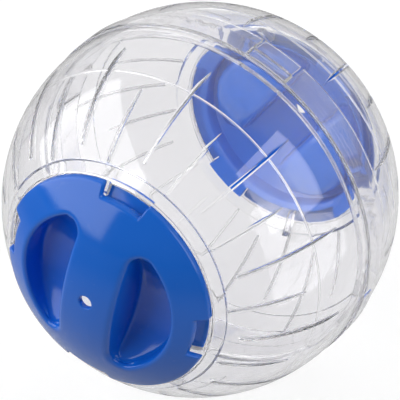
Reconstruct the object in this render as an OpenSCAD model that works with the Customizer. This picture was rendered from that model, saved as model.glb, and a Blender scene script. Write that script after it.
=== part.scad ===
// Hamster ball: two clear half shells that snap together round the middle, and
// two twist-off end caps with finger pockets and a pivot hole.
// The cap axis lies along Y, the front cap faces -Y, and the origin is the ball's centre.

/* [Ball] */
// Outer diameter of the ball, square to the cap axis
ball_d = 100; // [94:1:120]
// Wall of the clear shells
shell_wall = 1.5; // [1.2:0.1:2]
// Length of the straight belt on each side of the seam
belt_len = 2.05; // [1.5:0.05:4]
// Height of the fine stiffening bead inside each shell
bead_h = 0.5; // [0.3:0.1:0.8]

/* [Vent slots] */
// Number of slots in one shell, long and short in turn
slot_count = 24; // [20:4:28]
// Width of a slot
slot_w = 1.5; // [1:0.1:2.2]
// Length of the slot's pointed end
slot_point = 5; // [3:0.5:7]
// Distance from the short slots to the cap's collar
slot_margin = 4; // [3:0.5:5]

/* [Seam] */
// How far the front shell's spigot reaches into the rear shell
spigot_len = 10.8; // [8:0.1:13]
// Wall of the spigot
spigot_wall = 1.1; // [0.9:0.1:1.4]
// Gap between the spigot and the rear shell
spigot_gap = 0.2; // [0.1:0.05:0.3]
// Width of the raised band on the rear shell
band_w = 5.85; // [5:0.05:7]
// How far the band and the front shell's edge stand proud
band_h = 0.35; // [0.2:0.05:0.5]
// Number of snap latches round the seam
latch_count = 4; // [3:1:6]
// Width of a latch along the seam
latch_w = 11; // [8:0.5:12]
// Length of a latch along the ball's axis
latch_len = 2.8; // [2:0.1:3]
// How far a latch stands out of the spigot
latch_h = 0.75; // [0.5:0.05:0.8]
// Clearance round a latch in its pocket
latch_gap = 0.35; // [0.2:0.05:0.4]
// Width of the slits that free the latch's tongue
slit_w = 0.8; // [0.6:0.1:1.2]

/* [Cap seat] */
// Outer diameter of a cap
cap_d = 59.7; // [56:0.1:62]
// Gap between the cap's edge and the shell's collar
cap_gap = 0.35; // [0.2:0.05:0.5]
// Width of the ledge under the cap's edge
ledge_w = 1.2; // [1.1:0.05:1.3]
// Radial reach of the two bayonet lips
lip_reach = 4; // [3.8:0.1:4.2]
// Thickness of the ledge and lips
lip_t = 1.3; // [1:0.1:1.5]
// Angle that a bayonet lip spans
lip_angle = 68; // [66:0.5:70]
// Angle that the stop rib under a lip spans
stop_angle = 3; // [2:0.5:4]

/* [Cap] */
// Wall of the caps
cap_wall = 1.6; // [1.3:0.1:1.8]
// How far the cap's dome stands proud of the ball
cap_proud = 0.8; // [0.6:0.1:1.2]
// Gap between the cap, the lips and the tabs
turn_gap = 0.2; // [0.15:0.05:0.3]
// Gap between the cap's skirt and the lips
skirt_gap = 0.4; // [0.3:0.05:0.5]
// Wall of the cap's skirt
skirt_wall = 1.5; // [1.2:0.1:1.8]
// Thickness of the bayonet tabs
tab_t = 1.4; // [1.2:0.1:1.8]
// Gap between the tabs and the ledge they pass
tab_gap = 0.4; // [0.3:0.05:0.6]
// Angle that a tab and the window above it span
tab_angle = 25; // [22:0.5:26]
// Radial width of the windows in the cap's edge
window_w = 3.1; // [2.5:0.1:3.2]
// Diameter of the pivot hole
pivot_d = 3.6; // [3:0.1:5]

/* [Finger pockets] */
// Width of the grip bar between the pockets
bar_w = 15.5; // [13:0.5:18]
// Diameter of the circle that bounds the pockets
pocket_d = 43; // [40:0.5:44]
// Depth of the pockets below the dome at the cap's middle
pocket_depth = 12.6; // [10:0.1:14]
// Radius of the pocket's rounded corners
pocket_corner = 3.2; // [2:0.1:4]
// Radius of the pocket's bowl-shaped floor
pocket_bowl = 30; // [26:1:36]

/* [Hidden] */
$fn = 128;

// How far each shell and cap is turned about the ball's axis
front_turn = 123.2;
rear_turn = 98.3;
latch_turn = 35;

// Slot ends and the bead, as shares of the latitude at which the slots stop
long_tip_share = 0.21;
long_base_share = 0.92;
short_tip_share = 0.505;
bead_share = 0.396;

// How far a cut runs past a face, and how far fused shapes sink into each other
over = 1;
sink = 0.3;

ball_r = ball_d / 2;
inner_r = ball_r - shell_wall;
cap_r = cap_d / 2;
collar_r = cap_r + cap_gap;
ledge_r = collar_r - ledge_w;
lip_r = collar_r - lip_reach;

// Radii of the spheres, all about the same centre, that bound the cap, lips and tabs
dome_r = ball_r + cap_proud;
dome_in_r = dome_r - cap_wall;
lip_top_r = dome_in_r - turn_gap;
lip_bottom_r = lip_top_r - lip_t;
tab_top_r = lip_bottom_r - turn_gap;
tab_bottom_r = tab_top_r - tab_t;

skirt_r = lip_r - skirt_gap;
tab_r = ledge_r - tab_gap;
window_r = cap_r - window_w;
tab_turns = [for (i = [0:3]) 45 + 90 * i];
lip_turns = [0, 180];

collar_lat = acos(collar_r / ball_r);
slot_end_lat = collar_lat - slot_margin / ball_r * 180 / PI;
slot_step = 360 / slot_count;
bead_lat = slot_end_lat * bead_share;

spigot_root_r = inner_r - spigot_gap;
spigot_end_r = sqrt(pow(inner_r, 2) - pow(spigot_len - belt_len, 2)) - spigot_gap;
latch_mid = band_w / 2;
latch_angle = latch_w / ball_r * 180 / PI;
latch_gap_angle = latch_gap / ball_r * 180 / PI;

function at(r, turn) = [r * cos(turn), r * sin(turn)];

// A wedge about the axis that spans an angle, centred on a direction
module wedge(angle, reach, from_z, to_z) {
    far = reach / cos(angle / 2);
    translate([0, 0, from_z])
        linear_extrude(to_z - from_z)
            polygon([[0, 0], at(far, -angle / 2), at(reach, 0), at(far, angle / 2)]);
}

module tube(r_out, r_in, from_z, to_z) {
    difference() {
        translate([0, 0, from_z]) cylinder(r = r_out, h = to_z - from_z);
        translate([0, 0, from_z - over]) cylinder(r = r_in, h = to_z - from_z + 2 * over);
    }
}

// The part of a ring between two radii that lies between two concentric spheres
module dished_ring(r_out, r_in, top_r, bottom_r) {
    difference() {
        intersection() {
            translate([0, 0, belt_len]) sphere(r = top_r);
            translate([0, 0, belt_len + over]) cylinder(r = r_out, h = dome_r);
        }
        translate([0, 0, belt_len]) sphere(r = bottom_r);
        if (r_in > 0) cylinder(r = r_in, h = belt_len + dome_r + over);
    }
}

// One slot's outline, pointed at the seam end and round at the cap end
module slot_outline(tip_z, base_z) {
    half = slot_w / 2;
    polygon([[tip_z, 0], [tip_z + slot_point, half], [base_z - half, half], [base_z - half, -half],
        [tip_z + slot_point, -half]]);
    translate([base_z - half, 0]) circle(r = half, $fn = 32);
}

module slot_cut(tip_lat, base_lat) {
    tip_z = belt_len + ball_r * sin(tip_lat);
    base_z = belt_len + ball_r * sin(base_lat);
    near_r = inner_r * cos(base_lat) - 2 * over;
    translate([near_r, 0, 0])
        rotate([0, -90, 0])
            rotate([180, 0, 0])
                linear_extrude(ball_r - near_r + over)
                    slot_outline(tip_z, base_z);
}

module vent_slots() {
    for (i = [0:2:slot_count - 1]) {
        rotate([0, 0, i * slot_step]) slot_cut(slot_end_lat * short_tip_share, slot_end_lat);
        rotate([0, 0, (i + 1) * slot_step])
            slot_cut(slot_end_lat * long_tip_share, slot_end_lat * long_base_share);
    }
}

// Domed wall with its belt, drawn with the cap end up; edge_w is the width of its proud edge
module domed_wall(edge_w) {
    difference() {
        union() {
            intersection() {
                translate([0, 0, belt_len]) sphere(r = ball_r);
                cylinder(r = ball_r + over, h = belt_len + ball_r);
            }
            cylinder(r = ball_r, h = belt_len);
            cylinder(r = ball_r + band_h, h = edge_w);
        }
        translate([0, 0, belt_len]) sphere(r = inner_r);
        translate([0, 0, -over]) cylinder(r = inner_r, h = belt_len + over);
        translate([0, 0, belt_len]) cylinder(r = collar_r, h = ball_r + over);
    }
}

// Ledge all round, two bayonet lips with a stop rib under each
module cap_seat() {
    rim_r = collar_r + shell_wall;
    dished_ring(rim_r, ledge_r, lip_top_r, lip_bottom_r);
    for (turn = lip_turns) rotate([0, 0, turn]) {
        intersection() {
            dished_ring(rim_r, lip_r, lip_top_r, lip_bottom_r);
            wedge(lip_angle, ball_r, 0, belt_len + ball_r);
        }
        intersection() {
            dished_ring(rim_r, lip_r + skirt_gap, lip_bottom_r + sink, tab_bottom_r);
            wedge(stop_angle, ball_r, 0, belt_len + ball_r);
        }
    }
}

module stiffening_bead() {
    translate([0, 0, belt_len])
        rotate_extrude()
            intersection() {
                rotate([0, 0, bead_lat])
                    translate([inner_r, 0])
                        circle(r = bead_h, $fn = 24);
                difference() {
                    circle(r = inner_r + sink);
                    translate([-ball_r, -ball_r]) square([ball_r, 2 * ball_r]);
                }
            }
}

module half_shell(edge_w) {
    difference() {
        union() {
            domed_wall(edge_w);
            stiffening_bead();
        }
        vent_slots();
    }
    cap_seat();
}

module spigot() {
    difference() {
        rotate_extrude()
            polygon([
                [spigot_root_r - spigot_wall, belt_len],
                [inner_r + sink, belt_len],
                [inner_r + sink, 0],
                [spigot_root_r, 0],
                [spigot_end_r, -spigot_len],
                [spigot_end_r - spigot_wall, -spigot_len]
            ]);
        for (i = [0:latch_count - 1], side = [-1, 1])
            rotate([0, 0, latch_turn + i * 360 / latch_count + side * (latch_angle / 2 + 2 * latch_gap_angle)])
                translate([inner_r / 2, -slit_w / 2, -spigot_len - over])
                    cube([ball_r, slit_w, spigot_len + over - spigot_wall]);
    }
    for (i = [0:latch_count - 1])
        rotate([0, 0, latch_turn + i * 360 / latch_count])
            intersection() {
                tube(spigot_root_r + latch_h, spigot_end_r - spigot_wall + sink,
                    -latch_mid - latch_len / 2, -latch_mid + latch_len / 2);
                wedge(latch_angle, ball_r, -spigot_len, 0);
            }
}

module latch_pockets() {
    reach = latch_len / 2 + latch_gap;
    for (i = [0:latch_count - 1])
        rotate([0, 0, latch_turn + i * 360 / latch_count])
            intersection() {
                tube(spigot_root_r + latch_h + latch_gap, spigot_end_r, latch_mid - reach, latch_mid + reach);
                wedge(latch_angle + 2 * latch_gap_angle, ball_r, 0, spigot_len);
            }
}

// Outline of one finger pocket, grown by a wall: a circle's segment with rounded corners
module pocket_outline(grow) {
    chord_x = bar_w / 2 - grow;
    arc_r = pocket_d / 2 + grow;
    round_r = pocket_corner + grow;
    corner_x = chord_x + round_r;
    corner_y = sqrt(pow(arc_r - round_r, 2) - pow(corner_x, 2));
    corner_lat = atan2(corner_y, corner_x);
    steps = 8;
    arc_steps = 24;
    polygon(concat(
        [for (i = [0:steps]) [corner_x, corner_y] + at(round_r, 180 + (corner_lat - 180) * i / steps)],
        [for (i = [1:arc_steps - 1]) at(arc_r, corner_lat * (1 - 2 * i / arc_steps))],
        [for (i = [0:steps]) [corner_x, -corner_y] + at(round_r, -corner_lat + (corner_lat - 180) * i / steps)]
    ));
}

// Finger pocket as a solid, from its bowl-shaped floor up past the dome
module pocket_solid(grow) {
    floor_z = belt_len + dome_r - pocket_depth;
    mid_x = (bar_w + pocket_d) / 4;
    intersection() {
        linear_extrude(belt_len + dome_r + over) pocket_outline(grow);
        union() {
            translate([mid_x, 0, floor_z + pocket_bowl]) sphere(r = pocket_bowl + grow);
            translate([0, 0, floor_z + pocket_bowl]) cylinder(r = ball_r, h = pocket_bowl);
        }
    }
}

module cap() {
    difference() {
        union() {
            difference() {
                dished_ring(cap_r, 0, dome_r, dome_in_r);
                for (turn = tab_turns) rotate([0, 0, turn]) intersection() {
                    tube(cap_r + over, window_r, belt_len, belt_len + ball_r);
                    wedge(tab_angle, ball_r, belt_len, belt_len + ball_r);
                }
            }
            dished_ring(skirt_r, skirt_r - skirt_wall, dome_in_r + sink, tab_bottom_r);
            for (turn = tab_turns) rotate([0, 0, turn]) intersection() {
                dished_ring(tab_r, skirt_r - sink, tab_top_r, tab_bottom_r);
                wedge(tab_angle, ball_r, belt_len, belt_len + ball_r);
            }
            intersection() {
                pocket_pair(skirt_wall);
                translate([0, 0, belt_len]) sphere(r = dome_r);
            }
        }
        pocket_pair(0);
        cylinder(r = pivot_d / 2, h = belt_len + dome_r + over);
    }
}

module pocket_pair(grow) {
    for (turn = [45, 225]) rotate([0, 0, turn]) pocket_solid(grow);
}

module face_front(turn) {
    rotate([90, 0, 0]) rotate([0, 0, turn]) children();
}

module face_rear(turn) {
    mirror([0, 1, 0]) face_front(turn) children();
}

module front_shell() {
    color([0.86, 0.87, 0.9, 0.35]) face_front(front_turn) {
        half_shell(band_h * 2);
        spigot();
    }
}

module rear_shell() {
    color([0.82, 0.83, 0.87, 0.35]) difference() {
        face_rear(rear_turn) half_shell(band_w);
        face_rear(front_turn) latch_pockets();
    }
}

module front_cap() {
    color([0.12, 0.34, 0.76]) face_front(front_turn) cap();
}

module rear_cap() {
    color([0.12, 0.34, 0.76]) face_rear(rear_turn) cap();
}

front_shell();
rear_shell();
front_cap();
rear_cap();
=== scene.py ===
"""Hamster ball: two clear slotted half shells snapped together, and a blue twist cap at each end.

Sizes are in millimetres and angles in degrees, apart from latitudes, which are in radians.
Each moulding is worked out in its own frame, with the seam at height 0 and its cap end up,
and is then put on the ball's axis: the front half faces -Y, and the rear half is mirrored
to face +Y.
"""
import math

import bmesh
import bpy
import numpy as np
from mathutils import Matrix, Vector


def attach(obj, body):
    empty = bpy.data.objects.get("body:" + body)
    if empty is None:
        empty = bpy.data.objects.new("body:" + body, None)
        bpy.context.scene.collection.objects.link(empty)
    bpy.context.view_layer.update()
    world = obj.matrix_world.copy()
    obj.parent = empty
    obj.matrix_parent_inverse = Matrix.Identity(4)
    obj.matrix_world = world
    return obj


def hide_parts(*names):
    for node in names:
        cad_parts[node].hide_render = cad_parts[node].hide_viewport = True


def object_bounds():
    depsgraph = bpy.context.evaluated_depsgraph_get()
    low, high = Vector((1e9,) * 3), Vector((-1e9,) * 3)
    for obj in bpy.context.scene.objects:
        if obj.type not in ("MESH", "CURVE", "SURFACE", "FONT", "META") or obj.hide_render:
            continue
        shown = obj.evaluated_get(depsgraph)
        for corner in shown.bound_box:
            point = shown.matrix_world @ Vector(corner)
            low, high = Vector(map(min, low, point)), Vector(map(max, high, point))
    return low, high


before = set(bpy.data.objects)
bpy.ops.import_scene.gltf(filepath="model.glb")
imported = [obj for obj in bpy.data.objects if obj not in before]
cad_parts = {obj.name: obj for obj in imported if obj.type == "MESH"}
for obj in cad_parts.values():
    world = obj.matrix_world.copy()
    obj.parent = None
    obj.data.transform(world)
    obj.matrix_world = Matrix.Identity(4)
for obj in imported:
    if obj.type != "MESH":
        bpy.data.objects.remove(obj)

cad_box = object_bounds()
MM = 0.001

# Ball, belt and seam
BALL_R = 50.0
SHELL_WALL = 1.5
INNER_R = BALL_R - SHELL_WALL
BELT = 2.05
EDGE_H = 0.35
FRONT_EDGE_W = 0.7
REAR_BAND_W = 5.85
BAND_ROUND = 0.3
SEAM_GAP = 0.03
SOFT = 0.12
BEAD_H = 0.3
OVERLAP = 0.05

# Spigot on the front shell, with four snap latches between slits, and the latches' pockets
# in the rear shell. SPIGOT_DROPS are the depths of the spigot's rows under the seam.
SPIGOT_LEN = 10.8
SPIGOT_WALL = 1.1
SPIGOT_GAP = 0.2
SPIGOT_ROOT_R = INNER_R - SPIGOT_GAP
SPIGOT_END_R = math.sqrt(INNER_R**2 - (SPIGOT_LEN - BELT) ** 2) - SPIGOT_GAP
SPIGOT_LEAN = (SPIGOT_ROOT_R - SPIGOT_END_R) / SPIGOT_LEN
LATCHES = 4
LATCH_STEP = 360 / LATCHES
LATCH_TURN = 35.0
LATCH_W = 11.0
LATCH_LEN = 2.8
LATCH_H = 0.75
LATCH_SOFT = 0.2
LATCH_GAP = 0.35
LATCH_MID = REAR_BAND_W / 2
LATCH_HALF = math.degrees(LATCH_W / BALL_R) / 2
GAP_ANGLE = math.degrees(LATCH_GAP / BALL_R)
LATCH_POCKET_R = SPIGOT_ROOT_R + LATCH_H + LATCH_GAP
LATCH_POCKET_REACH = LATCH_LEN / 2 + LATCH_GAP
LATCH_POCKET_EASE = 0.2
LATCH_POCKET_HALF = LATCH_HALF + GAP_ANGLE + LATCH_POCKET_EASE
LATCH_POCKET_EDGE = 0.03
SLIT_W = 0.8
SLIT_TOP = 1.1
SLIT_STEP = 0.1
SLIT_AT = LATCH_HALF + 2 * GAP_ANGLE
SPIGOT_DROPS = (0, 0.3, 0.8, SLIT_TOP, SLIT_TOP + SLIT_STEP, 1.9, 3, 4.3, 5.6, 7, 8.6, SPIGOT_LEN - SOFT)
SPIGOT_ROWS = 2 * len(SPIGOT_DROPS) + 2

# Cap seat: the collar round the cap, the ledge in it, and two lips with the cap's tabs under them
CAP_R = 29.85
COLLAR_GAP = 0.35
COLLAR_R = CAP_R + COLLAR_GAP
LEDGE_W = 1.2
LEDGE_R = COLLAR_R - LEDGE_W
LIP_W = 4.0
LIP_R = COLLAR_R - LIP_W
LIP_HALF = 34.0
LIP_END = 0.15
LIP_THICK = 1.3
LIP_GAP = 0.2
TAB_THICK = 1.4
DOME_R = 50.8
DOME_IN_R = 49.2
LIP_TOP_R = DOME_IN_R - LIP_GAP
LIP_LOW_R = LIP_TOP_R - LIP_THICK
TAB_TOP_R = LIP_LOW_R - LIP_GAP
TAB_LOW_R = TAB_TOP_R - TAB_THICK
STOP_ANGLE = 3.0
STOP_INSET = 0.4

# Vent slots, 24 in a shell, short and long in turn. A slot is twice SLOT_HALF wide, and over
# SLOT_FLARE on each side the ball's surface falls by SLOT_SINK to the slot's edge.
SLOTS = 24
SLOT_STEP = 360 / SLOTS
SLOT_HALF = 0.3
SLOT_FLARE = 0.4
SLOT_WIDE = SLOT_HALF + SLOT_FLARE
SLOT_SINK = 0.22
SLOT_CURVE = 1.3
SLOT_POINT = 5.0
SLOT_MARGIN = 4.0
COLLAR_LAT = math.acos(COLLAR_R / BALL_R)
SLOT_END_LAT = COLLAR_LAT - SLOT_MARGIN / BALL_R
LONG_SHARES = (0.21, 0.92)
SHORT_SHARES = (0.505, 1.0)
BEAD_SHARE = 0.396
BEAD_LAT = SLOT_END_LAT * BEAD_SHARE

# Rows of a shell: how many even ones, how far in radians they keep from the marked ones, how
# many go round a slot's end, over the bead and round a corner, how far the second one is from
# a slot's tip, and how far a round wall keeps from a corner
DOME_ROWS = 44
ROW_CLEAR = 0.006
END_ROWS = 6
BEAD_ROWS = 9
CORNER_ROWS = 5
BAND_ROWS = 2 * CORNER_ROWS + 1
POINT_START = 0.4
CORNER_CLEAR = 0.05

# Rows of a cap: over its dome, over the edge of a pocket, down the pocket's wall, over the
# wall's foot, over the bowl and out to the cap's edge, and points along half of the bar
DOME_FACE_ROWS = 8
POCKET_EDGE_ROWS = 7
POCKET_WALL_ROWS = 5
POCKET_FOOT_ROWS = 5
BOWL_ROWS = 8
RIM_ROWS = 4
BAR_POINTS = 20

# A soft edge's middle row is cut back by this share of its radius
MID_SHARE = 0.3

# Columns of a sector beside its slot: the near ones at shares of the flare, the others at
# fixed angles, two of them at the end of a lip
FLARE_SHARES = (0, 1 / 3, 2 / 3, 1, 1.2)
LIP_COLUMN = LIP_HALF - 2 * SLOT_STEP
SIDE_COLUMNS = (2.9, LIP_COLUMN - LIP_END, LIP_COLUMN + LIP_END, 6.7)
LEFT_EDGE = len(FLARE_SHARES) + len(SIDE_COLUMNS)
SECTOR_COLUMNS = 2 * LEFT_EDGE + 1

# Cap
CAP_PLAY = 0.4
SKIRT_WALL = 1.5
SKIRT_R = LIP_R - CAP_PLAY
SKIRT_IN_R = SKIRT_R - SKIRT_WALL
TAB_R = LEDGE_R - CAP_PLAY
TAB_ROUND = 0.25
TAB_FOOT_SHARE = 0.1
WINDOW_DEEP = 3.1
WINDOW_R = CAP_R - WINDOW_DEEP
WINDOW_HALF = 12.5
WINDOW_CORNER = 0.6
EDGE_ROUND = 0.4
LOW_EDGE_ROUND = 0.15
SKIRT_ROUND = 0.3
TOP_EDGE_R = 25.3
PIVOT_R = 1.8
HOLE_ROUND = 0.3
HOLE_EDGE_R = PIVOT_R + HOLE_ROUND
HOLE_COLUMNS = 17
BAR_HALF = 7.75
POCKET_ARC_R = 21.5
POCKET_CORNER = 3.2
POCKET_MID = (BAR_HALF + POCKET_ARC_R) / 2
POCKET_DEEP = 12.6
POCKET_FLOOR = BELT + DOME_R - POCKET_DEEP
POCKET_BOWL = 30.0
POCKET_WALL = 1.5
POCKET_DRAFT = 0.4

# How far the halves are turned about the ball's axis, and the caps' pockets in them
FRONT_TURN = 123.2
REAR_TURN = 98.3
POCKET_TURN = 45.0

# Camera, fitted to the photograph's outline, seam, bead, slots and front cap
PHOTO_SIZE = 400
CAMERA_AZIMUTH = 32.6
CAMERA_ELEVATION = 34.83
CAMERA_DISTANCE = 781.1
CAMERA_FOCAL_PX = 3028.7
BALL_MIDDLE_PX = (200.48, 199.36)

# Finish, light and surroundings, with the floor's half side in metres
CUT_ROUGH = 0.45
INSIDE_GAIN = 0.8
ROOM_AT = (10, 25)
FLOOR_HALF = 4.0
BOUNCES = 32

# Meshing: how finely points are told apart, in steps a millimetre, the angle of a sharp edge,
# how near in millimetres a point is to be on the ball, and the cosines from which a face
# looks straight out of it or round its axis
WELD_STEPS = 1e4
SHARP_ANGLE = 35.0
ON_BALL = 1e-3
OUT_COSINE = 0.99
CUT_COSINE = 0.9


# Mesh helpers

def grid_quads(rows, columns, close_rows=False, close_columns=True):
    """Corner numbers of every quad of a grid, whose point (i, j) has number i * columns + j."""
    i = np.arange(rows if close_rows else rows - 1)[:, None]
    j = np.arange(columns if close_columns else columns - 1)[None, :]
    i2, j2 = (i + 1) % rows, (j + 1) % columns
    corners = [i * columns + j, i * columns + j2, i2 * columns + j2, i2 * columns + j]
    return np.stack([c.ravel() for c in corners], axis=1)


def weld(points, quads):
    """Makes close points one. Quads that lose one side become triangles, and others that collapse go."""
    keys = np.round(points * WELD_STEPS).astype(np.int64)
    _, first, number = np.unique(keys, axis=0, return_index=True, return_inverse=True)
    faces = number.ravel()[quads]
    same = faces == np.roll(faces, -1, axis=1)
    whole = faces[~same.any(axis=1)]
    crossed = (whole[:, 0] == whole[:, 2]) | (whole[:, 1] == whole[:, 3])
    whole = whole[~crossed]
    pinched = faces[same.sum(axis=1) == 1]
    keep = ~same[same.sum(axis=1) == 1]
    triangles = pinched[keep].reshape(-1, 3)
    return points[first], whole.tolist() + triangles.tolist()


def finish_shell(mesh, rear):
    """Gives the ball's round walls the sphere's own normals, and marks the cut walls of the slots.

    A face is on the ball when all its corners lie on the outer or the inner sphere and it
    looks straight away from the wall. Its corners, and those of the faces that run on
    smoothly from it, get the direction from the dome's centre, outwards on the outer wall
    and inwards on the inner one, so that lines seen through the shell stay straight. A face
    is a cut when it looks round the axis: its attribute "cut" is 1, and 0 elsewhere.
    """
    loops, faces = len(mesh.loops), len(mesh.polygons)
    points, corner_at = np.empty(len(mesh.vertices) * 3), np.empty(loops, np.int32)
    starts, facing = np.empty(faces, np.int32), np.empty(faces * 3)
    mesh.vertices.foreach_get("co", points)
    mesh.loops.foreach_get("vertex_index", corner_at)
    mesh.polygons.foreach_get("loop_start", starts)
    mesh.polygons.foreach_get("normal", facing)
    away = points.reshape(-1, 3) / MM - [0, BELT if rear else -BELT, 0]
    far = np.linalg.norm(away, axis=1)
    away = away / far[:, None]
    on_ball = (np.abs(far - BALL_R) < ON_BALL) | (np.abs(far - INNER_R) < ON_BALL)
    out = np.where(far > (BALL_R + INNER_R) / 2, 1.0, -1.0)[:, None] * away
    counts = np.diff(np.append(starts, loops))
    whole = np.repeat(np.minimum.reduceat(on_ball[corner_at], starts), counts)
    facing = np.repeat(facing.reshape(-1, 3), counts, axis=0)
    along = (facing * out[corner_at]).sum(axis=1)
    round_wall = np.zeros(len(away), bool)
    round_wall[corner_at[whole & (along > OUT_COSINE)]] = True
    chosen = round_wall[corner_at] & (along > math.cos(math.radians(SHARP_ANGLE)))
    mesh.normals_split_custom_set(np.where(chosen[:, None], out[corner_at], 0.0).tolist())
    round_axis = np.stack([-away[:, 2], np.zeros(len(away)), away[:, 0]], axis=1)
    round_axis /= np.linalg.norm(round_axis, axis=1)[:, None]
    across = np.abs((facing * round_axis[corner_at]).sum(axis=1))
    cut = mesh.attributes.new("cut", "FLOAT", "CORNER")
    cut.data.foreach_set("value", (across > CUT_COSINE).astype(np.float32))


def make_piece(name, parts, place, material):
    """One object from parts, a list of (points, quads), welded, turned outwards and put in place."""
    points = np.concatenate([p for p, _ in parts])
    starts = np.cumsum([0] + [len(p) for p, _ in parts[:-1]])
    quads = np.concatenate([q + s for (_, q), s in zip(parts, starts)])
    points, faces = weld(points, quads)
    mesh = bpy.data.meshes.new(name)
    mesh.from_pydata((place(points) * MM).tolist(), [], faces)
    work = bmesh.new()
    work.from_mesh(mesh)
    loose = [v for v in work.verts if not v.link_faces]
    bmesh.ops.delete(work, geom=loose, context="VERTS")
    bmesh.ops.recalc_face_normals(work, faces=work.faces)
    work.to_mesh(mesh)
    work.free()
    mesh.polygons.foreach_set("use_smooth", np.ones(len(mesh.polygons), bool))
    mesh.set_sharp_from_angle(angle=math.radians(SHARP_ANGLE))
    mesh.materials.append(material)
    piece = bpy.data.objects.new(name, mesh)
    bpy.context.scene.collection.objects.link(piece)
    return piece


def on_axis(turn, rear=False):
    """Placing function of a half: a turn about the cap axis, which then becomes the ball's axis.

    (x, y, z) becomes (x, -z, y) in front and (x, z, y) at the rear.
    """
    c, s = math.cos(math.radians(turn)), math.sin(math.radians(turn))
    side = 1 if rear else -1

    def place(p):
        x, y = c * p[:, 0] - s * p[:, 1], s * p[:, 0] + c * p[:, 1]
        return np.stack([x, side * p[:, 2], y], axis=1)

    return place


def sphere_height(radius, across):
    """Height over the seam of a sphere about the dome's centre: belt + sqrt(radius^2 - across^2)."""
    return BELT + np.sqrt(np.maximum(np.square(radius) - np.square(across), 0))


def smooth_step(value, low, high):
    """0 below low, 1 above high, and 3t^2 - 2t^3 between."""
    t = np.clip((value - low) / (high - low), 0, 1)
    return t * t * (3 - 2 * t)


def turn_gap(angle, centre, period):
    """Distance in degrees from the nearest of the directions centre + k * period."""
    return np.abs((angle - centre + period / 2) % period - period / 2)


# Clear half shells

def slot_share(height, shares):
    """Share of a slot's full width at each height.

    It is a straight point from the seam end, then 1, then a half circle.
    """
    tip, base = (BELT + BALL_R * math.sin(SLOT_END_LAT * s) for s in shares)
    pointed = np.clip((height - tip) / SLOT_POINT, 0, 1)
    past = np.clip((height - base) / SLOT_WIDE + 1, 0, 1)
    return np.minimum(pointed, np.sqrt(1 - past**2))


def dome_latitudes():
    """Latitudes of the rows: even ones, and marked ones where a shape changes.

    The marks are at the slots' ends, across the bead and at the edge of the latches' pockets.
    """
    marks = [0.0, COLLAR_LAT]
    for tip_share, base_share in (LONG_SHARES, SHORT_SHARES):
        tip_z = BALL_R * math.sin(SLOT_END_LAT * tip_share)
        base_z = BALL_R * math.sin(SLOT_END_LAT * base_share)
        heights = [tip_z, tip_z + POINT_START, tip_z + SLOT_POINT]
        turns = np.linspace(0, math.pi / 2, END_ROWS)
        heights += [base_z - SLOT_WIDE + SLOT_WIDE * math.sin(a) for a in turns]
        marks += [math.asin(h / BALL_R) for h in heights]
    marks += list(BEAD_LAT + np.linspace(-1, 1, BEAD_ROWS) * BEAD_H / INNER_R)
    for gap in (-LATCH_POCKET_EDGE, LATCH_POCKET_EDGE):
        marks.append(math.asin((LATCH_MID + LATCH_POCKET_REACH - BELT + gap) / INNER_R))
    marks = np.unique(np.round(marks, 6))
    even = np.linspace(0, COLLAR_LAT, DOME_ROWS)
    far = np.abs(even[:, None] - marks[None, :]).min(axis=1) > ROW_CLEAR
    return np.sort(np.concatenate([marks, even[far]]))


def sphere_rows(radius, lats, sign):
    """Rows on a sphere, (radius * cos, belt + radius * sin), and its normal, turned in when sign is -1."""
    c, s = np.cos(lats), np.sin(lats)
    flat = np.zeros_like(lats)
    return np.stack([radius * c, BELT + radius * s, sign * c, sign * s, flat, flat], axis=1)


def edge_rows(points):
    """Rows at corners of the outline, each (across, height), or on a sphere.

    On a sphere a row is (across, rise, sphere radius, share of the lip's reach), where the
    share may be left out.
    """
    rows = []
    for p in points:
        across, along, ball, reach = (list(p) + [0, 0])[:4]
        rows.append([across, along, 0, 0, ball, reach])
    return np.array(rows, float)


def seat_rows():
    """Rows of the cap seat, from the dome's edge inwards.

    They go down the collar's wall, over the ledge and lips and back under them, and end at
    the inner wall.
    """
    s, m = SOFT, MID_SHARE * SOFT
    return edge_rows([
        (COLLAR_R + m, -m, BALL_R), (COLLAR_R, -s, BALL_R),
        (COLLAR_R, s, LIP_TOP_R), (COLLAR_R - s, 0, LIP_TOP_R),
        (LEDGE_R + LEDGE_W / 2, 0, LIP_TOP_R, 0.5), (LEDGE_R + 2 * s, 0, LIP_TOP_R, 1),
        (LEDGE_R + 2 * m, -2 * m, LIP_TOP_R, 1), (LEDGE_R, -2 * s, LIP_TOP_R, 1),
        (LEDGE_R, 2 * s, LIP_LOW_R, 1), (LEDGE_R + 2 * m, 2 * m, LIP_LOW_R, 1),
        (LEDGE_R + 2 * s, 0, LIP_LOW_R, 1), (LEDGE_R + LEDGE_W, 0, LIP_LOW_R, 0.5),
        (COLLAR_R + SHELL_WALL - 2 * s, 0, LIP_LOW_R), (COLLAR_R + SHELL_WALL, 2 * s, LIP_LOW_R),
    ])


def bend(across, height, radius, start, end, count=CORNER_ROWS):
    """Rows round a corner: across + radius * cos, height + radius * sin, from start to end in degrees."""
    turn = np.radians(np.linspace(start, end, count))
    return [(across + radius * c, height + radius * s) for c, s in zip(np.cos(turn), np.sin(turn))]


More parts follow.
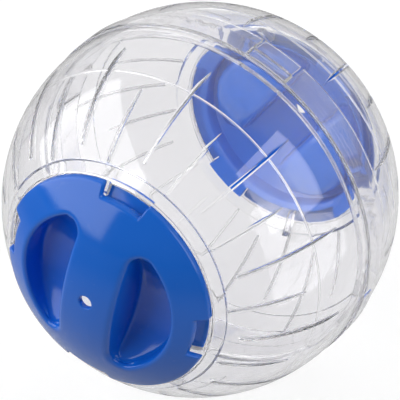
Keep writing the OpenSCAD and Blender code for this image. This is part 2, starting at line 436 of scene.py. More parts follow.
def seam_rows(front):
    """Rows of the belt's inside, the seam's face and the proud edge outside.

    The front shell's face carries the spigot, and the rear shell's edge is a raised band.
    """
    s = SOFT
    if front:
        belt = [(SPIGOT_ROOT_R - SPIGOT_WALL, BELT)]
        inside = [(SPIGOT_ROOT_R - SPIGOT_WALL - SPIGOT_LEAN * d, -d) for d in SPIGOT_DROPS]
        end = [(SPIGOT_END_R - SPIGOT_WALL + s, -SPIGOT_LEN), (SPIGOT_END_R - s, -SPIGOT_LEN)]
        outside = [(SPIGOT_ROOT_R - SPIGOT_LEAN * d, -d) for d in SPIGOT_DROPS[:0:-1]]
        face = [(SPIGOT_ROOT_R, SEAM_GAP), (BALL_R - s, SEAM_GAP)]
        half = FRONT_EDGE_W / 2
        edge = bend(BALL_R, half, half, -85, 90, 2 * CORNER_ROWS - 1)
        return edge_rows(belt + inside + end + outside + face + edge)
    low = LATCH_MID - LATCH_POCKET_REACH
    belt = [(INNER_R, low + LATCH_POCKET_EDGE), (INNER_R, low - LATCH_POCKET_EDGE)]
    face = [(INNER_R, s), (INNER_R + s, 0)]
    crown = BALL_R + EDGE_H - BAND_ROUND
    band = bend(crown, BAND_ROUND, BAND_ROUND, -90, 0)
    band += bend(crown, REAR_BAND_W - BAND_ROUND, BAND_ROUND, 0, 90)
    lat = math.asin((REAR_BAND_W - BELT) / BALL_R)
    foot = (BALL_R * math.cos(lat), REAR_BAND_W + CORNER_CLEAR)
    return edge_rows(belt + face + band + [foot])


def shell_columns(half_widths, flares, across, shifts):
    """Azimuth of each column in each row, drawn in to the opening's two edges where the row has one.

    An edge is arcsin(half width / across) from the sector's middle. Where shifts isn't 0 the
    middle moves by that many degrees, and the sector's sides stay.
    """
    near = np.array(FLARE_SHARES)
    sectors = []
    for k in range(SLOTS):
        half = np.degrees(np.arcsin(half_widths[:, k] / across))[:, None]
        flare = np.degrees(flares[:, k] / across)[:, None]
        right = np.hstack([half + near * flare, np.tile(SIDE_COLUMNS, (len(across), 1))])
        wide = np.full((len(across), 1), -SLOT_STEP / 2)
        offset = np.hstack([wide, -right[:, ::-1], right])
        moved = shifts[:, k:k + 1] * (1 - np.abs(offset) / (SLOT_STEP / 2))
        sectors.append(k * SLOT_STEP + offset + moved)
    return np.hstack(sectors)


def cut_walls(outer_rows, inner_rows, sector):
    """Quads through the wall at both edges of a sector's opening, from outer rows to inner rows."""
    walls = []
    for edge in (LEFT_EDGE, LEFT_EDGE + 1):
        column = sector * SECTOR_COLUMNS + edge
        o = outer_rows * SLOTS * SECTOR_COLUMNS + column
        i = inner_rows * SLOTS * SECTOR_COLUMNS + column
        walls.append(np.stack([o[:-1], o[1:], i[1:], i[:-1]], axis=1))
    return walls


def shell_rows(front):
    """Rows of a half shell, each one's latitude, and where the seat, the inside and the seam start.

    They run up the outside, over the collar, round the ledge and lips, down the inside and
    round the seam. The bead stands in from the inside by sqrt(height^2 - distance^2).
    """
    lats = dome_latitudes()
    band_top = REAR_BAND_W + 2 * CORNER_CLEAR
    outer_lats = lats if front else lats[BELT + BALL_R * np.sin(lats) > band_top]
    inner_lats = lats[INNER_R * np.cos(lats) > COLLAR_R + SHELL_WALL + CORNER_CLEAR]
    outer = sphere_rows(BALL_R, outer_lats, 1)
    bead = np.sqrt(np.maximum(BEAD_H**2 - (INNER_R * (inner_lats - BEAD_LAT)) ** 2, 0))
    inner = sphere_rows(INNER_R - bead, inner_lats, -1)[::-1]
    runs = [outer, seat_rows(), inner, seam_rows(front)]
    seat_at, inner_at, seam_at, end = np.cumsum([len(run) for run in runs])
    row_lats = np.zeros(end)
    row_lats[:seat_at] = outer_lats
    row_lats[inner_at:seam_at] = inner_lats[::-1]
    return np.concatenate(runs), row_lats, (seat_at, inner_at, seam_at)


def slit_sectors():
    """The sectors that hold the slits beside the latches, each with its slit's direction."""
    turns = [LATCH_TURN + LATCH_STEP * i + side * SLIT_AT for i in range(LATCHES) for side in (-1, 1)]
    return [(round(turn / SLOT_STEP), turn) for turn in turns]


def openings(rows, row_lats, starts, front):
    """How far each slot is open in each row, each opening's half width, and how far it is moved.

    The slots are in the ball's walls, short and long in turn, and the slits in the spigot,
    where an opening's middle moves to the slit's direction.
    """
    seat_at, inner_at, seam_at = starts
    level = BELT + BALL_R * np.sin(row_lats)
    slotted = np.zeros(len(rows), bool)
    slotted[:seat_at] = True
    slotted[inner_at:seam_at] = True
    shapes = [slot_share(level, shares) * slotted for shares in (SHORT_SHARES, LONG_SHARES)]
    open_share = np.stack([shapes[k % 2] for k in range(SLOTS)], axis=1)
    widths = SLOT_HALF * open_share
    shifts = np.zeros_like(widths)
    if front:
        spigot = np.zeros(len(rows), bool)
        spigot[seam_at + 1:][:SPIGOT_ROWS] = True
        below = spigot & (rows[:, 1] < -SLIT_TOP - SLIT_STEP / 2)
        for k, turn in slit_sectors():
            shifts[spigot, k] = turn - k * SLOT_STEP
            widths[below, k] = SLIT_W / 2
    return open_share, widths, shifts


def slot_sink(open_share, seat_at):
    """How far the outside falls towards the slots: sink * (1 - share of the flare's width)^curve."""
    column = np.arange(SLOTS * SECTOR_COLUMNS)
    near = np.minimum(FLARE_SHARES, 1)
    edge_share = np.ones(SECTOR_COLUMNS)
    edge_share[LEFT_EDGE + 1:][:len(near)] = near
    edge_share[:LEFT_EDGE + 1][-len(near):] = near[::-1]
    fall = (1 - edge_share[column % SECTOR_COLUMNS]) ** SLOT_CURVE
    sink = SLOT_SINK * open_share[:, column // SECTOR_COLUMNS] * fall
    sink[seat_at:] = 0
    return sink


def in_latch_pocket(azimuth, height, inner_at):
    """Which points of the rear shell's inside are near a latch, by height and by direction."""
    deep = np.abs(height - LATCH_MID) < LATCH_POCKET_REACH
    deep[:inner_at] = False
    deep[-BAND_ROWS:] = False
    pocket_turn = LATCH_TURN + FRONT_TURN - REAR_TURN
    return deep & (turn_gap(azimuth, pocket_turn, LATCH_STEP) < LATCH_POCKET_HALF)


def shell_walls(widths, row_lats, starts, front):
    """Quads through the ball's wall along the slots, and through the spigot along the slits."""
    seat_at, inner_at, seam_at = starts
    outer_lats, inner_lats = row_lats[:seat_at], row_lats[inner_at:seam_at]
    _, outer_rows, from_inner = np.intersect1d(outer_lats, inner_lats, return_indices=True)
    walls = []
    for k in range(SLOTS):
        w = widths[outer_rows, k]
        open_here = np.maximum(w[:-1], w[1:]) > 0
        walls += [wall[open_here] for wall in cut_walls(outer_rows, inner_at + from_inner, k)]
    if front:
        depth = np.arange(len(SPIGOT_DROPS) + 1)
        inside, outside = seam_at + 1 + depth, seam_at + SPIGOT_ROWS - depth
        for k, _ in slit_sectors():
            walls += [wall[SPIGOT_DROPS.index(SLIT_TOP):] for wall in cut_walls(outside, inside, k)]
    return walls


def shell_parts(front):
    """A half shell as one closed grid, in a list of one part.

    Columns run round the axis. A slot is the gap between the two middle columns of a sector,
    whose edges are joined through the wall, and the slits beside the latches are gaps of the
    same kind in the spigot. Every point is
    (across * cos(azimuth), across * sin(azimuth), height).
    """
    rows, row_lats, starts = shell_rows(front)
    open_share, widths, shifts = openings(rows, row_lats, starts, front)
    azimuth = shell_columns(widths, SLOT_FLARE * open_share, rows[:, 0], shifts)
    sink = slot_sink(open_share, starts[0])
    lip = 1 - smooth_step(turn_gap(azimuth, 0, 180), LIP_HALF - LIP_END, LIP_HALF + LIP_END)
    across = rows[:, :1] - rows[:, 2:3] * sink + rows[:, 5:6] * lip * (LIP_R - LEDGE_R)
    on_sphere = rows[:, 1:2] + sphere_height(rows[:, 4:5], across)
    height = np.where(rows[:, 4:5] > 0, on_sphere, rows[:, 1:2] - rows[:, 3:4] * sink)
    if not front:
        across = np.where(in_latch_pocket(azimuth, height, starts[1]), LATCH_POCKET_R, across)
    turn = np.radians(azimuth)
    points = np.stack([across * np.cos(turn), across * np.sin(turn), height], axis=2).reshape(-1, 3)
    quads = grid_quads(*azimuth.shape, close_rows=True)
    quads = quads[quads[:, 0] % SECTOR_COLUMNS != LEFT_EDGE]
    return [(points, np.concatenate([quads] + shell_walls(widths, row_lats, starts, front)))]


def pad(half_s, half_t, height, soft):
    """A low block with soft edges on a flat patch, closed at both poles.

    Its outline is a rounded rectangle, corner's middle + radius * (cos, sin). Each level says
    how far the outline is drawn in, how far it is shut, and its height.
    """
    turn = np.linspace(0, 2 * math.pi, 32, endpoint=False)
    corner = min(half_s, half_t) / 2
    corner_s = np.sign(np.cos(turn)) * (half_s - corner)
    corner_t = np.sign(np.sin(turn)) * (half_t - corner)
    part = MID_SHARE * soft
    levels = [
        (0, 1, 0), (0, 0, 0), (0, 0, height - soft),
        (part, 0, height - part), (soft, 0, height), (0, 1, height)]
    rows = []
    for drawn, shut, up in levels:
        r = corner - drawn
        s = (corner_s + r * np.cos(turn)) * (1 - shut)
        t = (corner_t + r * np.sin(turn)) * (1 - shut)
        rows.append(np.stack([s, t, np.full_like(s, up)], axis=1))
    return np.concatenate(rows), grid_quads(len(levels), len(turn))


def bent_pad(half_s, half_t, height, soft, base_r, azimuth, middle, slope):
    """A pad bent round the axis.

    Where the pad's own point is (s, t, up), across = base + up + slope * t, the height is
    middle + t, and the direction is azimuth + s / base.
    """
    p, quads = pad(half_s, half_t, height, soft)
    across = base_r + p[:, 2] + slope * p[:, 1]
    turn = math.radians(azimuth) + p[:, 0] / base_r
    return np.stack([across * np.cos(turn), across * np.sin(turn), middle + p[:, 1]], axis=1), quads


def latch_parts():
    """Four snap latches on the spigot."""
    base = SPIGOT_ROOT_R - SPIGOT_LEAN * LATCH_MID - OVERLAP
    turns = [LATCH_TURN + LATCH_STEP * k for k in range(LATCHES)]
    return [
        bent_pad(LATCH_W / 2, LATCH_LEN / 2, LATCH_H, LATCH_SOFT, base, turn, -LATCH_MID, SPIGOT_LEAN)
        for turn in turns
    ]


def stop_parts():
    """The rib under the middle of each lip that stops the cap's tabs: a block between two spheres."""
    outer_r, inner_r = COLLAR_R + SHELL_WALL, LIP_R + STOP_INSET
    top_r = LIP_LOW_R + OVERLAP
    corners = [(outer_r, top_r), (inner_r, top_r), (inner_r, TAB_LOW_R), (outer_r, TAB_LOW_R)]
    across, ball = np.repeat(corners, 2, axis=0).T
    sides = grid_quads(len(corners), 2, close_rows=True, close_columns=False)
    quads = np.concatenate([sides, [[0, 2, 4, 6], [1, 3, 5, 7]]])
    parts = []
    for middle in (0, 180):
        turn = np.tile(np.radians([middle - STOP_ANGLE / 2, middle + STOP_ANGLE / 2]), len(corners))
        plan = [across * np.cos(turn), across * np.sin(turn)]
        parts.append((np.stack(plan + [sphere_height(ball, across)], axis=1), quads))
    return parts


# Caps

def pocket_outline():
    """Outline of a finger pocket about its middle: bar's chord, outer arc and two rounded corners.

    Gives a function that finds the outline's point and its outward normal's direction, for
    a list of directions from the pocket's middle.
    """
    corner_x = BAR_HALF + POCKET_CORNER
    corner_y = math.sqrt((POCKET_ARC_R - POCKET_CORNER) ** 2 - corner_x**2)
    corner_turn = math.atan2(corner_y, corner_x)
    arc = np.linspace(-corner_turn, corner_turn, 240)
    corner = np.linspace(corner_turn, math.pi, 120)
    chord = np.linspace(corner_y, -corner_y, 160)[1:-1]
    normal = np.concatenate([arc, corner, np.full(len(chord), math.pi), 2 * math.pi - corner[::-1]])
    x = np.concatenate([
        POCKET_ARC_R * np.cos(arc), corner_x + POCKET_CORNER * np.cos(corner),
        np.full(len(chord), BAR_HALF), corner_x + POCKET_CORNER * np.cos(corner[::-1])])
    y = np.concatenate([
        POCKET_ARC_R * np.sin(arc), corner_y + POCKET_CORNER * np.sin(corner),
        chord, -corner_y - POCKET_CORNER * np.sin(corner[::-1])])
    seen = np.unwrap(np.arctan2(y, x - POCKET_MID))

    def find(direction):
        d = seen[0] + (direction - seen[0]) % (2 * math.pi)
        return tuple(np.interp(d, seen, v) for v in (x, y, normal))

    return find


def quarter_columns():
    """Plan of the cap's edge from one window's middle to the next.

    Gives azimuth, radius, the normal's lean from radial, and 1 on a tab or 0 beside it. The
    window is an arc at WINDOW_R, a concave corner, a radial side and a convex corner up to
    CAP_R, and the second half of the quarter mirrors the first.
    """
    q, n = WINDOW_CORNER, 6
    t = np.linspace(0, math.pi / 2, n)
    side = math.radians(WINDOW_HALF)
    inner_end = side - q / WINDOW_R
    arc = np.linspace(0, inner_end, n + 1)[:-1]
    straight = np.linspace(WINDOW_R + q, CAP_R - q, 4)[1:-1]
    az = [arc, inner_end + q / WINDOW_R * np.sin(t), [side] * 2, side + q / CAP_R * (1 - np.cos(t))]
    r = [[WINDOW_R] * n, WINDOW_R + q * (1 - np.cos(t)), straight, CAP_R - q + q * np.sin(t)]
    lean = [[0] * n, -t, [-math.pi / 2] * 2, t - math.pi / 2]
    tab = [[1] * 2 * n, [1, 0], [0] * n]
    half = [np.concatenate(v) for v in (az, r, lean, tab)]
    rest = np.linspace(half[0][-1], math.pi / 4, 20)[1:-1]
    half = [np.append(h, np.broadcast_to(v, rest.shape)) for h, v in zip(half, (rest, CAP_R, 0, 0))]
    middle = (math.pi / 4, CAP_R, 0, 0)
    back = [math.pi / 2 - half[0][:0:-1], half[1][:0:-1], -half[2][:0:-1], half[3][:0:-1]]
    return [np.concatenate([h, [m], b]) for h, m, b in zip(half, middle, back)]


def edge_columns():
    """The whole cap's edge, four quarters from azimuth -90 degrees on."""
    az, r, lean, tab = quarter_columns()
    az = np.concatenate([az + (k - 1) * math.pi / 2 for k in range(4)])
    return az, np.tile(r, 4), np.tile(lean, 4), np.tile(tab, 4)


def on_dome(x, y, ball, rise=0.0):
    """A row of points over the plan (x, y), on a sphere about the dome's centre and raised by rise."""
    return x, y, sphere_height(ball, np.hypot(x, y)) + rise


def half_face(ball, edge_r, grow, top_round, low_round, bowl):
    """Half of the cap's skin with one finger pocket, as one grid from the border in to the pocket's middle.

    The border is the half circle at edge_r and the bar's middle line round the pivot hole.
    Inside it the skin follows the sphere, turns down over a quarter circle at the pocket's
    outline, goes down the wall, turns over a second quarter circle and ends in the bowl:
    height = floor + bowl radius - sqrt(bowl radius^2 - distance from the middle^2).
    """
    az = edge_columns()[0]
    az = np.append(az[:len(az) // 2], math.pi / 2)
    line = edge_r + (HOLE_EDGE_R - edge_r) * np.linspace(0, 1, BAR_POINTS + 2)[1:-1]
    notch = np.linspace(math.pi / 2, -math.pi / 2, HOLE_COLUMNS)
    zero = np.zeros(len(line))
    border_x = np.concatenate([edge_r * np.cos(az), zero, HOLE_EDGE_R * np.cos(notch), zero])
    border_y = np.concatenate([edge_r * np.sin(az), line, HOLE_EDGE_R * np.sin(notch), -line[::-1]])
    start = np.arctan2(border_y[:len(az)], border_x[:len(az)] - POCKET_MID)
    rest = np.linspace(start[-1], start[0] + 2 * math.pi, len(border_x) - len(az) + 2)[1:-1]
    x, y, normal = pocket_outline()(np.concatenate([start, rest]))

    def out(offset):
        return x + offset * np.cos(normal), y + offset * np.sin(normal)

    def floor(px, py):
        far = (px - POCKET_MID) ** 2 + py**2
        return POCKET_FLOOR + POCKET_BOWL - np.sqrt(np.maximum((POCKET_BOWL + bowl) ** 2 - far, 0))

    rows = []
    rim_x, rim_y = out(grow + top_round)
    for share in np.linspace(0, 1, DOME_FACE_ROWS + 1)[:-1]:
        px, py = border_x + (rim_x - border_x) * share, border_y + (rim_y - border_y) * share
        rows.append(on_dome(px, py, ball))
    for turn in np.linspace(0, math.pi / 2, POCKET_EDGE_ROWS):
        px, py = out(grow + top_round * (1 - math.sin(turn)))
        rows.append(on_dome(px, py, ball, -top_round * (1 - math.cos(turn))))
    top = rows[-1][2]
    foot_x, foot_y = out(grow - POCKET_DRAFT)
    foot = floor(foot_x, foot_y) + low_round
    for share in np.linspace(0, 1, POCKET_WALL_ROWS + 1)[1:]:
        px, py = out(grow - POCKET_DRAFT * share)
        rows.append((px, py, top + (foot - top) * share))
    for turn in np.linspace(0, math.pi / 2, POCKET_FOOT_ROWS + 1)[1:]:
        px, py = out(grow - POCKET_DRAFT - low_round * (1 - math.cos(turn)))
        rows.append((px, py, floor(px, py) + low_round * (1 - math.sin(turn))))
    last_x, last_y = rows[-1][:2]
    for share in np.linspace(1, 0, BOWL_ROWS + 1)[1:]:
        px, py = POCKET_MID + (last_x - POCKET_MID) * share, last_y * share
        rows.append((px, py, floor(px, py)))
    points = np.concatenate([np.stack(r, axis=1) for r in rows])
    return points, grid_quads(len(rows), len(border_x))


def bore_part():
    """Wall of the pivot hole, with its two softened edges."""
    half = np.linspace(math.pi / 2, -math.pi / 2, HOLE_COLUMNS)
    turn = np.concatenate([half, half[1:-1] + math.pi])
    rounding = np.linspace(0, math.pi / 2, 4)
    across = HOLE_EDGE_R - HOLE_ROUND * np.sin(rounding)
    drop = HOLE_ROUND * (1 - np.cos(rounding))
    upper, lower = sphere_height(DOME_R, across) - drop, sphere_height(DOME_IN_R, across) + drop
    across = np.append(across, across[::-1])[:, None]
    height = np.append(upper, lower[::-1])[:, None]
    plan = [across * np.cos(turn), across * np.sin(turn)]
    points = np.stack(plan + [np.tile(height, (1, len(turn)))], axis=2).reshape(-1, 3)
    return points, grid_quads(len(across), len(turn))


def edge_part():
    """The cap's edge with its four windows, its underside, the skirt and the four bayonet tabs.

    It is one grid round the axis, whose rows go down the outside, in under the edge, down
    the skirt, out round the tabs and up the skirt's inside.
    """
    az, edge, lean, tab = edge_columns()
    tab_out = SKIRT_R + (TAB_R - SKIRT_R) * tab
    nx, ny = np.cos(az + lean), np.sin(az + lean)
    ex, ey = edge * np.cos(az), edge * np.sin(az)
    rows = []

    def ring(across, ball, rise=0.0):
        across = np.broadcast_to(across, az.shape)
        rows.append((across * np.cos(az), across * np.sin(az), sphere_height(ball, across) + rise))

    def edge_ring(offset, ball, rise):
        rows.append(on_dome(ex + offset * nx, ey + offset * ny, ball, rise))

    inner_x, inner_y = TOP_EDGE_R * np.cos(az), TOP_EDGE_R * np.sin(az)
    for share in np.linspace(0, 1, RIM_ROWS + 1)[:-1]:
        x = inner_x + (ex - EDGE_ROUND * nx - inner_x) * share
        y = inner_y + (ey - EDGE_ROUND * ny - inner_y) * share
        rows.append(on_dome(x, y, DOME_R))
    for turn in np.linspace(0, math.pi / 2, CORNER_ROWS):
        edge_ring(-EDGE_ROUND * (1 - math.sin(turn)), DOME_R, -EDGE_ROUND * (1 - math.cos(turn)))
    edge_ring(0, DOME_IN_R, LOW_EDGE_ROUND)
    edge_ring(-LOW_EDGE_ROUND, DOME_IN_R, 0)
    ring(SKIRT_R + SKIRT_ROUND, DOME_IN_R)
    ring(SKIRT_R, DOME_IN_R, -SKIRT_ROUND)
    ring(SKIRT_R, LIP_LOW_R)
    ring(SKIRT_R, TAB_TOP_R, LIP_GAP)
    ring(SKIRT_R + (tab_out - SKIRT_R) * TAB_FOOT_SHARE, TAB_TOP_R)
    ring(tab_out - TAB_ROUND * tab, TAB_TOP_R)
    ring(tab_out, TAB_TOP_R, -TAB_ROUND)
    ring(tab_out, TAB_LOW_R, TAB_ROUND)
    ring(tab_out - TAB_ROUND * tab, TAB_LOW_R)
    ring(SKIRT_R - SKIRT_ROUND, TAB_LOW_R)
    ring(SKIRT_IN_R + SKIRT_ROUND, TAB_LOW_R)
    ring(SKIRT_IN_R, TAB_LOW_R, SKIRT_ROUND)
    ring(SKIRT_IN_R, LIP_LOW_R)
    ring(SKIRT_IN_R, DOME_IN_R)
    points = np.concatenate([np.stack(r, axis=1) for r in rows])
    return points, grid_quads(len(rows), len(az))


def cap_parts():
    """Both halves of the outer and inner skin, the pivot bore, and the edge with its skirt."""
    outside = half_face(DOME_R, TOP_EDGE_R, grow=0.0, top_round=1.5, low_round=1.0, bowl=0.0)
    grow = POCKET_WALL - POCKET_DRAFT
    inside = half_face(DOME_IN_R, SKIRT_IN_R, grow=grow, top_round=0.7, low_round=2.4, bowl=POCKET_WALL)
    parts = [bore_part(), edge_part()]
    for points, quads in (outside, inside):
        parts.append((points, quads))
        parts.append((points * [-1, -1, 1], quads))
    return parts


# Materials

def link(tree, a, out, b, into):
    """Joins an output of node a to an input of node b, each by name or number."""
    tree.links.new(a.outputs[out], b.inputs[into])


def feed(tree, value, socket):
    """Gives an input socket its value, a number or another node's output."""
    if isinstance(value, bpy.types.NodeSocket):
        tree.links.new(value, socket)
    else:
        socket.default_value = value


def moulding_group():
    """Shared look of an injection moulding, as a height and two masks.

    Height = slow flow waves + share * fine skin. The masks are the waves as a cloud, and thin
    rubbed lines where a third noise is high.
    """
    g = bpy.data.node_groups.new("moulded_skin", "ShaderNodeTree")
    for name, kind, value in (
        ("Position", "NodeSocketVector", None), ("Wave Size", "NodeSocketFloat", 40.0),
        ("Skin Size", "NodeSocketFloat", 900.0), ("Skin Share", "NodeSocketFloat", 0.1),
    ):
        socket = g.interface.new_socket(name, in_out="INPUT", socket_type=kind)
        if value is not None:
            socket.default_value = value
    for name in ("Height", "Cloud", "Rub"):
        g.interface.new_socket(name, in_out="OUTPUT", socket_type="NodeSocketFloat")
    inp, out = g.nodes.new("NodeGroupInput"), g.nodes.new("NodeGroupOutput")
    wave, skin, rub = (g.nodes.new("ShaderNodeTexNoise") for _ in range(3))
    for node, detail in ((wave, 1.0), (skin, 2.0), (rub, 3.0)):
        node.inputs["Detail"].default_value = detail
        link(g, inp, "Position", node, "Vector")
    rub.inputs["Scale"].default_value = 260.0
    rub.inputs["Distortion"].default_value = 1.5
    link(g, inp, "Wave Size", wave, "Scale")
    link(g, inp, "Skin Size", skin, "Scale")
    part = g.nodes.new("ShaderNodeMath")
    part.operation = "MULTIPLY_ADD"
    link(g, skin, "Fac", part, 0)
    link(g, inp, "Skin Share", part, 1)
    link(g, wave, "Fac", part, 2)
    line = g.nodes.new("ShaderNodeMapRange")
    line.inputs["From Min"].default_value = 0.66
    line.inputs["From Max"].default_value = 0.74
    link(g, rub, "Fac", line, "Value")
    link(g, part, "Value", out, "Height")
    link(g, wave, "Fac", out, "Cloud")
    link(g, line, "Result", out, "Rub")
    return g


def new_material(name):
    """Gives a new material, its tree, its Principled shader and its Texture Coordinate node."""
    material = bpy.data.materials.new(name)
    material.use_nodes = True
    tree = material.node_tree
    shader = tree.nodes["Principled BSDF"]
    return material, tree, shader, tree.nodes.new("ShaderNodeTexCoord")


def add_skin(tree, coords, shader, group, wave, skin, share, depth, rough):
    """Puts the moulded skin into a material: bump from its height, and roughness from its cloud.

    The roughness runs between the two values of rough.
    """
    node = tree.nodes.new("ShaderNodeGroup")
    node.node_tree = group
    node.inputs["Wave Size"].default_value = wave
    node.inputs["Skin Size"].default_value = skin
    node.inputs["Skin Share"].default_value = share
    link(tree, coords, "Object", node, "Position")
    bump = tree.nodes.new("ShaderNodeBump")
    bump.inputs["Strength"].default_value = 1.0
    bump.inputs["Distance"].default_value = depth * MM
    link(tree, node, "Height", bump, "Height")
    link(tree, bump, "Normal", shader, "Normal")
    spread = tree.nodes.new("ShaderNodeMapRange")
    spread.inputs["From Min"].default_value = 0.3
    spread.inputs["From Max"].default_value = 0.7
    spread.inputs["To Min"].default_value, spread.inputs["To Max"].default_value = rough
    link(tree, node, "Cloud", spread, "Value")
    link(tree, spread, "Result", shader, "Roughness")
    return node


def clear_plastic(group):
    """Clear polished styrene, faintly lilac, with slow moulding waves and matt cut walls."""
    material, tree, shader, coords = new_material("clear_styrene")
    shader.inputs["Base Color"].default_value = (0.968, 0.964, 0.976, 1)
    shader.inputs["Transmission Weight"].default_value = 0.98
    shader.inputs["IOR"].default_value = 1.49
    add_skin(
        tree, coords, shader, group,
        wave=45.0, skin=700.0, share=0.01, depth=0.006, rough=(0.0, 0.03))
    polished = shader.inputs["Roughness"].links[0].from_socket
    cut, rough = tree.nodes.new("ShaderNodeAttribute"), tree.nodes.new("ShaderNodeMix")
    cut.attribute_name = "cut"
    link(tree, cut, "Fac", rough, "Factor")
    feed(tree, polished, rough.inputs["A"])
    rough.inputs["B"].default_value = CUT_ROUGH
    link(tree, rough, "Result", shader, "Roughness")
    return material


def blue_plastic(group):
    """Glossy opaque blue, a little paler where it is rubbed."""
    material, tree, shader, coords = new_material("blue_moulding")
    skin = add_skin(
        tree, coords, shader, group,
        wave=90.0, skin=1500.0, share=0.05, depth=0.03, rough=(0.10, 0.17))
    cloud = tree.nodes.new("ShaderNodeMix")
    cloud.data_type = "RGBA"
    cloud.inputs["A"].default_value = (0.006, 0.142, 0.68, 1)
    cloud.inputs["B"].default_value = (0.008, 0.158, 0.74, 1)
    link(tree, skin, "Cloud", cloud, "Factor")
    rubbed = tree.nodes.new("ShaderNodeMix")
    rubbed.data_type = "RGBA"
    rubbed.inputs["B"].default_value = (0.06, 0.20, 0.70, 1)
    faint = tree.nodes.new("ShaderNodeMath")
    faint.operation = "MULTIPLY"
    faint.inputs[1].default_value = 0.25
    link(tree, skin, "Rub", faint, 0)
    link(tree, faint, "Value", rubbed, "Factor")
    tree.links.new(cloud.outputs["Result"], rubbed.inputs["A"])
    tree.links.new(rubbed.outputs["Result"], shader.inputs["Base Color"])
    return material


# Studio

def by_ray(tree, shown, through, mirrored, lit):
    """One level per kind of ray: camera, transmission, glossy and all others. Each is a number or a socket.

    A ray bent by the shells counts as both glossy and transmission, so transmission has the last word.
    """
    path = tree.nodes.new("ShaderNodeLightPath")
    levels = {"Is Camera Ray": shown, "Is Glossy Ray": mirrored, "Is Transmission Ray": through}
    total = lit
    for flag, level in levels.items():
        mix = tree.nodes.new("ShaderNodeMix")
        link(tree, path, flag, mix, "Factor")
        feed(tree, total, mix.inputs["A"])
        feed(tree, level, mix.inputs["B"])
        total = mix.outputs["Result"]
    return total


def lit_inside(tree, level):
    """The level, times 1 + INSIDE_GAIN for light that has left a dull surface.

    This makes up for the lamps' light, which the shells hold off.
    """
    path = tree.nodes.new("ShaderNodeLightPath")
    once, share, total = (tree.nodes.new("ShaderNodeMath") for _ in range(3))
    once.operation, share.operation, total.operation = "MINIMUM", "MULTIPLY_ADD", "MULTIPLY"
    link(tree, path, "Diffuse Depth", once, 0)
    once.inputs[1].default_value = 1.0
    link(tree, once, 0, share, 0)
    share.inputs[1].default_value, share.inputs[2].default_value = INSIDE_GAIN, 1.0
    link(tree, share, 0, total, 0)
    feed(tree, level, total.inputs[1])
    return total.outputs[0]


def faded(tree, value, low, high, start, end):
    """A smooth change from start to end while the value goes from low to high."""
    fade = tree.nodes.new("ShaderNodeMapRange")
    fade.interpolation_type = "SMOOTHSTEP"
    for name, number in (("From Min", low), ("From Max", high), ("To Min", start), ("To Max", end)):
        fade.inputs[name].default_value = number
    feed(tree, value, fade.inputs["Value"])
    return fade.outputs["Result"]


def make_world(even, behind, above, backdrop, room):
    """Surroundings: white to the camera, and an even level for diffuse light.

    Through the shells they run from one level at the horizon to another above, and in
    reflections from the pale backdrop to the dim room on the camera's side, by the cosine
    with the direction in front of the ball.
    """
    world = bpy.data.worlds.new("studio")
    bpy.context.scene.world = world
    world.use_nodes = True
    world.cycles.sampling_method = "NONE"
    tree = world.node_tree
    tree.nodes.clear()
    coords = tree.nodes.new("ShaderNodeTexCoord")
    split, front = tree.nodes.new("ShaderNodeSeparateXYZ"), tree.nodes.new("ShaderNodeVectorMath")
    link(tree, coords, "Generated", split, "Vector")
    front.operation = "DOT_PRODUCT"
    front.inputs[1].default_value = direction(*ROOM_AT)
    link(tree, coords, "Generated", front, 0)
    through = faded(tree, split.outputs["Z"], low=0.05, high=0.35, start=behind, end=above)
    mirrored = faded(tree, front.outputs["Value"], low=-0.1, high=0.35, start=backdrop, end=room)
    shell, out = tree.nodes.new("ShaderNodeBackground"), tree.nodes.new("ShaderNodeOutputWorld")
    strength = by_ray(tree, shown=1.0, through=lit_inside(tree, through), mirrored=mirrored, lit=even)
    feed(tree, strength, shell.inputs["Strength"])
    link(tree, shell, 0, out, "Surface")


def make_floor(height, glow, dim, grey):
    """Pale floor: white to the camera, with a faint shadow.

    It is a little dimmer through the shells, and fades far off in reflections.
    """
    mesh = bpy.data.meshes.new("floor")
    corners = [(FLOOR_HALF * x, FLOOR_HALF * y, height) for x, y in ((-1, -1), (1, -1), (1, 1), (-1, 1))]
    mesh.from_pydata(corners, [], [(0, 1, 2, 3)])
    floor = bpy.data.objects.new("floor", mesh)
    bpy.context.scene.collection.objects.link(floor)
    material = bpy.data.materials.new("pale_floor")
    material.use_nodes = True
    tree = material.node_tree
    tree.nodes.clear()
    diffuse, light = tree.nodes.new("ShaderNodeBsdfDiffuse"), tree.nodes.new("ShaderNodeEmission")
    diffuse.inputs["Color"].default_value = (grey, grey, grey, 1)
    coords, far = tree.nodes.new("ShaderNodeTexCoord"), tree.nodes.new("ShaderNodeVectorMath")
    far.operation = "LENGTH"
    link(tree, coords, "Object", far, 0)
    through = lit_inside(tree, glow - dim)
    mirrored = faded(tree, far.outputs["Value"], low=0.10, high=0.30, start=glow / 2, end=0.0)
    strength = by_ray(tree, shown=glow, through=through, mirrored=mirrored, lit=0.0)
    feed(tree, strength, light.inputs["Strength"])
    add, out = tree.nodes.new("ShaderNodeAddShader"), tree.nodes.new("ShaderNodeOutputMaterial")
    tree.links.new(light.outputs[0], add.inputs[0])
    tree.links.new(diffuse.outputs[0], add.inputs[1])
    link(tree, add, 0, out, "Surface")
    mesh.materials.append(material)


def direction(azimuth, elevation):
    """Unit vector towards a place round the ball, with azimuth 0 in front at -Y."""
    a, e = math.radians(azimuth), math.radians(elevation)
    return Vector((math.sin(a) * math.cos(e), -math.cos(a) * math.cos(e), math.sin(e)))


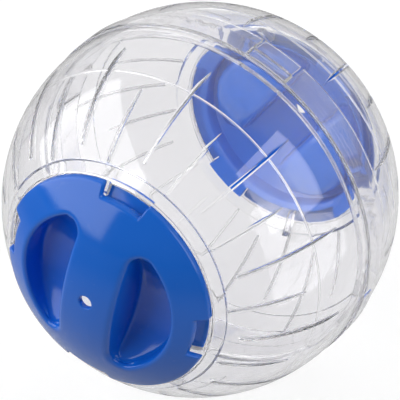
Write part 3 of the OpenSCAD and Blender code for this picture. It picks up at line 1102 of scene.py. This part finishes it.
def add_softbox(name, azimuth, elevation, distance, width, height, level, seen=True):
    """Area light aimed at the ball, whose face has the given radiance.

    When it isn't seen, it lights dull surfaces only, and no reflection or view through glass
    shows it.
    """
    light = bpy.data.lights.new(name, "AREA")
    light.shape = "RECTANGLE"
    light.size, light.size_y = width, height
    light.energy = level * width * height * math.pi
    lamp = bpy.data.objects.new(name, light)
    lamp.visible_glossy = lamp.visible_transmission = seen
    toward = direction(azimuth, elevation)
    lamp.location = toward * distance
    lamp.rotation_euler = (-toward).to_track_quat("-Z", "Y").to_euler()
    bpy.context.scene.collection.objects.link(lamp)


def make_camera():
    """Camera at the photograph's angle, distance and focal length."""
    data = bpy.data.cameras.new("photo_camera")
    data.sensor_width = 36.0
    data.lens = CAMERA_FOCAL_PX / PHOTO_SIZE * data.sensor_width
    data.shift_x = (PHOTO_SIZE / 2 - BALL_MIDDLE_PX[0]) / PHOTO_SIZE
    data.shift_y = (BALL_MIDDLE_PX[1] - PHOTO_SIZE / 2) / PHOTO_SIZE
    data.clip_start, data.clip_end = 0.01, 50.0
    camera = bpy.data.objects.new("photo_camera", data)
    back = direction(CAMERA_AZIMUTH, CAMERA_ELEVATION)
    camera.location = back * CAMERA_DISTANCE * MM
    camera.rotation_euler = (-back).to_track_quat("-Z", "Y").to_euler()
    bpy.context.scene.collection.objects.link(camera)
    bpy.context.scene.camera = camera


# Assembly

make_camera()
skin_group = moulding_group()
clear = clear_plastic(skin_group)
blue = blue_plastic(skin_group)

front_parts = shell_parts(True) + latch_parts() + stop_parts()
rear_parts = shell_parts(False) + stop_parts()
front_shell = make_piece("front_shell_clear", front_parts, on_axis(FRONT_TURN), clear)
rear_shell = make_piece("rear_shell_clear", rear_parts, on_axis(REAR_TURN, rear=True), clear)
finish_shell(front_shell.data, rear=False)
finish_shell(rear_shell.data, rear=True)
front_cap = make_piece("front_cap_blue", cap_parts(), on_axis(FRONT_TURN + POCKET_TURN), blue)
rear_cap = make_piece("rear_cap_blue", cap_parts(), on_axis(REAR_TURN + POCKET_TURN, rear=True), blue)

for piece, node, body, finish in (
    (front_shell, "front_shell", "shells", "clear_shell"),
    (rear_shell, "rear_shell", "shells", "clear_shell"),
    (front_cap, "front_cap", "front_cap_body", "blue_cap"),
    (rear_cap, "rear_cap", "rear_cap_body", "blue_cap"),
):
    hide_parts(node)
    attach(piece, body)

make_floor(cad_box[0].z, glow=0.82, dim=0.16, grey=0.22)
make_world(even=0.36, behind=0.92, above=1.2, backdrop=0.9, room=0.2)
add_softbox("key", azimuth=-55, elevation=28, distance=1.0, width=1.5, height=0.95, level=2.2)
add_softbox("fill", azimuth=95, elevation=30, distance=1.3, width=0.95, height=1.0, level=2.3)
add_softbox("back", azimuth=195, elevation=40, distance=1.4, width=1.1, height=0.8, level=2.4, seen=False)
cycles = bpy.context.scene.cycles
cycles.max_bounces = cycles.glossy_bounces = cycles.transmission_bounces = BOUNCES

bpy.context.scene.view_settings.view_transform = "Standard"
